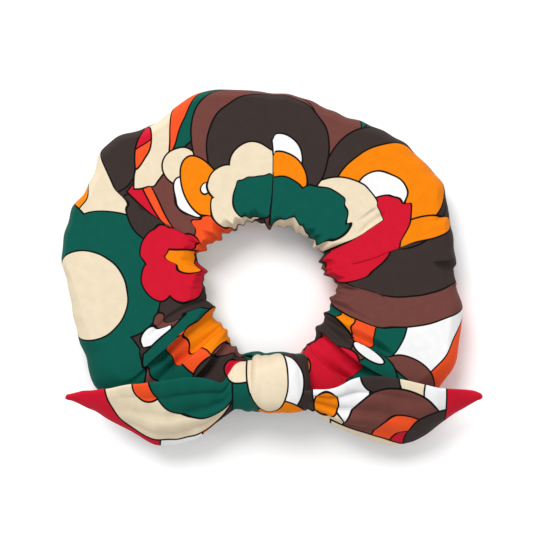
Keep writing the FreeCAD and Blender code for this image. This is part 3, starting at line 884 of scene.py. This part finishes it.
# Each tail, by distance out along X: its upper and lower edges in plan, their heights, and how far its middle
# swells above them as a share of its width.  Then where it starts, and where its tip is.
TAILS = {
    "left": dict(
        sign=-1,
        upper=[
            (4, -21.4), (8, -21.8), (10, -22.8), (11.5, -25.0), (13, -27.2), (16, -26.9), (20.4, -26.2),
            (26, -26.6), (32, -27.2), (38, -28.1), (48, -29.9), (54, -30.5), (56.6, -30.8),
            (57.6, -31.1), (57.9, -31.5),
        ],
        lower=[
            (4, -35.4), (8, -35.4), (10, -35.4), (12, -36.8), (16, -40.3), (20.4, -43.9), (26, -46.0),
            (31, -45.9), (38, -42.7), (48, -37.0), (54, -33.8), (56.6, -32.5), (57.6, -32.1),
            (57.9, -31.7),
        ],
        upper_z=[
            (4, 15.4), (9, 15.8), (13, 19.6), (20, 21.6), (28, 21.4), (38, 20.6), (48, 18.6), (58, 14.6),
        ],
        lower_z=[
            (4, 15.4), (9, 15.4), (13, 14.6), (20, 11.6), (28, 9.6), (38, 10.4), (48, 12.4), (58, 13.8),
        ],
        camber=[(4, 0.27), (9, 0.24), (13, 0.15), (20, 0.11), (60, 0.10)],
        start=4.0,
        tip=57.9,
        seed=31,
    ),
    "right": dict(
        sign=1,
        upper=[
            (8, -30.0), (12, -29.6), (18, -29.2), (23, -26.6), (30.4, -25.8), (38.9, -27.0),
            (49, -29.3), (56, -30.4), (58.9, -30.8), (59.9, -31.2), (60.2, -31.6),
        ],
        lower=[
            (8, -33.0), (12, -35.8), (18, -39.8), (26.4, -43.7), (34.2, -46.0), (42, -44.4),
            (46.3, -41.4), (50, -38.2), (56, -34.5), (58.9, -32.7), (59.9, -32.2), (60.2, -31.8),
        ],
        upper_z=[(8, 20.5), (13, 21.4), (20, 22.0), (30, 21.6), (40, 20.4), (50, 18.2), (60, 13.8)],
        lower_z=[(8, 17.0), (13, 15.6), (20, 13.2), (30, 10.6), (40, 8.8), (50, 10.6), (60, 13.0)],
        camber=[(8, 0.12), (60, 0.11)],
        start=8.0,
        tip=60.2,
        seed=41,
    ),
}
TAIL_ROWS = 220
TAIL_COLUMNS = 120
TAIL_HALF_THICKNESS = 0.75
TAIL_FULL_WIDTH = 5.0  # where the tail is narrower than about this, it is also thinner
TAIL_KNOT_END = 10
# The tail's pleats: place across it, depth, and how far each falls off on its steep and on its gentle side.
TAIL_PLEATS = [(0.22, 1.5, 0.05, 0.14), (0.5, 2.0, 0.05, -0.2), (0.76, 1.6, 0.05, 0.14)]
TAIL_PLEAT_SOFTNESS = 0.012
TAIL_PLEAT_START = (9, 15)
TAIL_PLEAT_END = (0.2, 0.8)
SEAM_PLACE = 0.97
SEAM_WIDTH = 0.01
SEAM_HEIGHT = 0.10


def end_faces(row, flip):
    """Quads that close the flat section at one row of a tail."""
    ring = np.arange(TAIL_COLUMNS) + row * TAIL_COLUMNS
    faces = []
    for number in range(TAIL_COLUMNS // 2 - 1):
        near, far = number, TAIL_COLUMNS - 1 - number
        quad = [ring[near], ring[near + 1], ring[far - 1], ring[far]]
        faces.append(quad[::-1] if flip else quad)
    return np.array(faces)


def make_tail(side):
    shape = TAILS[side]
    sign, start, tip, seed = (shape[key] for key in ("sign", "start", "tip", "seed"))
    reach = start + (tip - start) * np.linspace(0, 1, TAIL_ROWS)[:, None] ** 0.9
    around = once_round(TAIL_COLUMNS)
    across = 0.5 - 0.5 * signed_power(np.cos(around), 0.75)
    face = np.sin(around)
    upper, lower, upper_z, lower_z, camber_share = (
        curve_through(shape[key], reach) for key in ("upper", "lower", "upper_z", "lower_z", "camber")
    )
    flat_y = upper + (lower - upper) * across
    z = upper_z + (lower_z - upper_z) * across
    width = np.hypot(upper - lower, upper_z - lower_z)
    camber = camber_share * width * (1 - (2 * across - 1) ** 2)
    from_knot = (reach - TAIL_KNOT_END) / (tip - TAIL_KNOT_END)
    gathered = smoothstep(reach, *TAIL_PLEAT_START) * (1 - smoothstep(from_knot, *TAIL_PLEAT_END))
    pleat = np.zeros_like(flat_y)
    for place, depth, steep, gentle in TAIL_PLEATS:
        pleat -= depth * crease(across - place, steep, gentle, TAIL_PLEAT_SOFTNESS)
    lift = camber + pleat * gathered
    lift += 0.45 * ripple(reach, flat_y, 16, seed) * smoothstep(from_knot, 0, 0.3)
    lift += 0.15 * ripple(reach, flat_y, 6, seed + 1)
    slope = np.arctan2(upper_z - lower_z, upper - lower)
    thick = TAIL_HALF_THICKNESS * np.minimum(1.0, width / TAIL_FULL_WIDTH + 0.25)
    seam = SEAM_HEIGHT * np.exp(-((across - SEAM_PLACE) / SEAM_WIDTH) ** 2)
    off = lift + thick * signed_power(face, 0.6) + seam * np.sign(face)
    x = sign * reach + 0 * flat_y
    points = np.stack([x, flat_y - off * np.sin(slope), z + off * np.cos(slope)], -1)
    GRIDS[side] = points
    mirrored = sign > 0
    faces = grid_faces(TAIL_ROWS, TAIL_COLUMNS, closed_rows=False)
    if mirrored:
        faces = faces[:, ::-1]
    faces = np.concatenate([faces, end_faces(0, not mirrored), end_faces(TAIL_ROWS - 1, mirrored)])
    place = np.stack([x, flat_y, 0 * flat_y], -1)
    return add_mesh("scarf_tail_%s_cloth" % side, points, faces, SCARF_CLOTH, place)


for side in ("left", "right"):
    tail = make_tail(side)
    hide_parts("scarf_tail_" + side)
    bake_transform(tail)

# ---------------------------------------------------------------- thread: stitches hidden in the seams


THREAD_RADIUS = 0.2
THREAD_BOW = 0.12
THREAD_SIDES = 8
THREAD_RINGS = 7
COVER_STITCHES = 76
COVER_SEAM_COLUMN = COVER_COLUMNS - 6  # on the wall that faces the hole
COVER_SEAM_DEPTH = 1.1
TAIL_SEAM_DEPTH = 0.9
TAIL_STITCH_ROWS = (70, TAIL_ROWS - 24, 9)
TAIL_STITCH_LENGTH = 5  # in rows


def make_stitches(name, pairs):
    """Short round threads, each bowed a little and thinner at its ends, along a list of pairs of points."""
    sides, rings = THREAD_SIDES, THREAD_RINGS
    points, faces = [], []
    for start, end in pairs:
        run = (end - start) / np.linalg.norm(end - start)
        across = np.cross(run, (0, 0, 1.0))
        across /= np.linalg.norm(across)
        above = np.cross(across, run)
        base = len(points)
        for ring in range(rings):
            share = ring / (rings - 1)
            middle = start + (end - start) * share + above * THREAD_BOW * math.sin(math.pi * share)
            size = THREAD_RADIUS * (0.35 + 0.65 * math.sin(math.pi * min(max(share, 0.08), 0.92)) ** 0.4)
            for side in range(sides):
                turn = 2 * math.pi * side / sides
                points.append(middle + size * (across * math.cos(turn) + above * math.sin(turn)))
        faces += (grid_faces(rings, sides, closed_rows=False)[:, ::-1] + base).tolist()
        faces.append([base + side for side in range(sides)])
        faces.append([base + (rings - 1) * sides + side for side in reversed(range(sides))])
    return add_mesh(name, points, faces, THREAD)


def inside_wall(wall, middle, depth):
    """A point a depth in from a wall, towards the middle."""
    inward = middle - wall
    return wall + inward / np.linalg.norm(inward) * depth


def cover_seam_pairs():
    """Pairs of points just inside the wall that faces the hole."""
    points = GRIDS["cover"]
    centre_line = points.mean(1)
    walls = points[:, COVER_SEAM_COLUMN]
    length = round(COVER_ROWS / COVER_STITCHES * 0.5)
    pairs = []
    for number in range(COVER_STITCHES):
        first = round(number * COVER_ROWS / COVER_STITCHES)
        rows = (first, (first + length) % COVER_ROWS)
        pairs.append([inside_wall(walls[row], centre_line[row], COVER_SEAM_DEPTH) for row in rows])
    return pairs


def tail_seam_pairs(side):
    """Pairs of points just inside the lower edge of a tail."""
    points = GRIDS[side]
    edge = TAIL_COLUMNS // 2
    pairs = []
    for first in range(*TAIL_STITCH_ROWS):
        rows = (first, first + TAIL_STITCH_LENGTH)
        pairs.append([inside_wall(points[row, edge], points[row, 0], TAIL_SEAM_DEPTH) for row in rows])
    return pairs


cover_seam = make_stitches("cover_seam_thread", cover_seam_pairs())
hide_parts("cover_seam_upper", "cover_seam_lower")
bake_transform(cover_seam)
for side in ("left", "right"):
    tail_seam = make_stitches("scarf_seam_%s_thread" % side, tail_seam_pairs(side))
    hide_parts("scarf_seam_" + side)
    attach(tail_seam, "tail_" + side)
for node in ("cover_closing_stitches", "elastic_join_stitches"):
    stitches = frame["nodes"][node]
    stitches.data.materials.clear()
    stitches.data.materials.append(THREAD)

# ---------------------------------------------------------------- table, light and camera


TABLE_HALF = 3.0  # metres
VIEW_CENTRE = (-1.0 * MM, 5.0 * MM)
VIEW_WIDTH = 151.4 * MM
VIEW_HEIGHT = 12.0 * MM  # the height at which the view is that wide
LENS = 135.0
SENSOR = 36.0


def make_table():
    half = TABLE_HALF
    corners = [(-half, -half, 0), (half, -half, 0), (half, half, 0), (-half, half, 0)]
    mesh = bpy.data.meshes.new("table")
    mesh.from_pydata(corners, [], [(0, 1, 2, 3)])
    material, _, shader = new_material("pale_table")
    shader.inputs["Base Color"].default_value = (0.98, 0.98, 0.98, 1)
    shader.inputs["Roughness"].default_value = 0.9
    shader.inputs["Specular IOR Level"].default_value = 0.1
    mesh.materials.append(material)
    put_in_scene("table", mesh)


def add_light(name, place, size, watts):
    """A round lamp, in metres, that faces the object."""
    data = bpy.data.lights.new(name, "AREA")
    data.shape = "DISK"
    data.size = size
    data.energy = watts
    light = put_in_scene(name, data)
    light.location = place
    light.rotation_euler = (-Vector(place)).to_track_quat("-Z", "Y").to_euler()


def make_studio():
    make_table()
    add_light("key", (-0.38, 0.78, 1.05), size=0.8, watts=16.0)
    add_light("fill", (0.7, -0.3, 1.4), size=1.4, watts=4.0)
    world = bpy.data.worlds.new("studio")
    world.use_nodes = True
    background = world.node_tree.nodes["Background"]
    background.inputs["Color"].default_value = (1, 1, 1, 1)
    background.inputs["Strength"].default_value = 0.62
    bpy.context.scene.world = world
    bpy.context.scene.view_settings.view_transform = "Standard"


def make_camera():
    """Straight above, upright, with the whole bow in view."""
    data = bpy.data.cameras.new("camera")
    data.lens = LENS
    data.sensor_width = SENSOR
    camera = put_in_scene("camera", data)
    camera.location = (*VIEW_CENTRE, VIEW_HEIGHT + VIEW_WIDTH * LENS / SENSOR)
    bpy.context.scene.camera = camera


make_camera()
make_studio()
